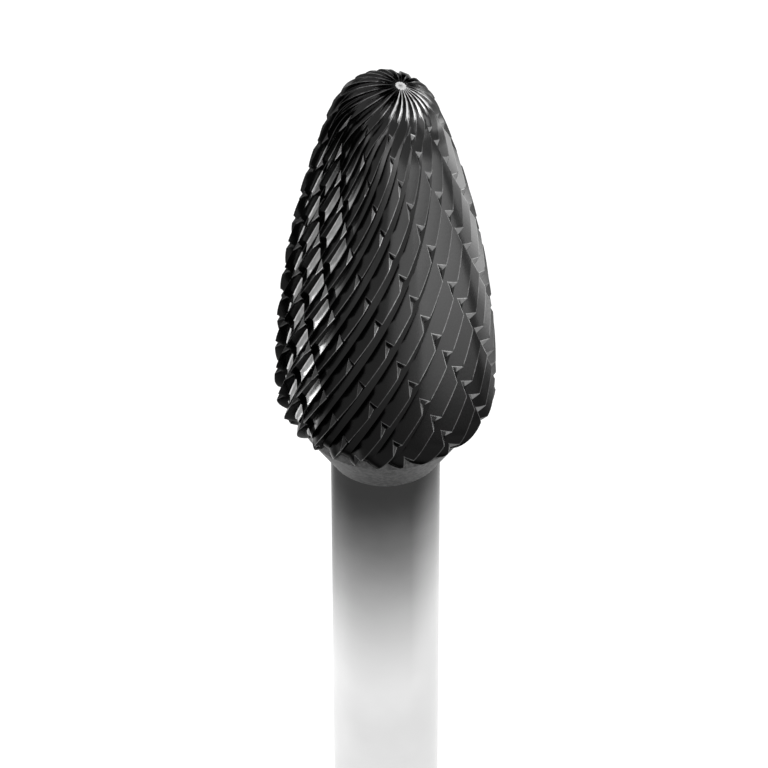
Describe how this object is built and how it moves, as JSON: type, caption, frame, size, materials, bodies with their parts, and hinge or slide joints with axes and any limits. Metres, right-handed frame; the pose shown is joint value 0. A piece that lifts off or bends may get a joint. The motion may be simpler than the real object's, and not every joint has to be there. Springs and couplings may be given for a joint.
{
  "type": "rotary carbide burr",
  "caption": "Tree-shaped carbide rotary burr with a round nose and a double cut, on a plain round steel shank, for a die grinder.",
  "frame": {"origin": "centre of the shank's flat end", "axes": "+Z along the tool's axis, from the shank's end to the nose; X and Y are any two directions across it"},
  "size_m": [0.012, 0.012, 0.07],
  "materials": {
    "carbide_head": "satin dark grey ground tungsten carbide, with a rough as-sintered back cone",
    "steel_shank": "ground steel with fine turning lines"
  },
  "bodies": {
    "root": {"carbide_head": "carbide_head", "steel_shank": "steel_shank"}
  },
  "joints": []
}
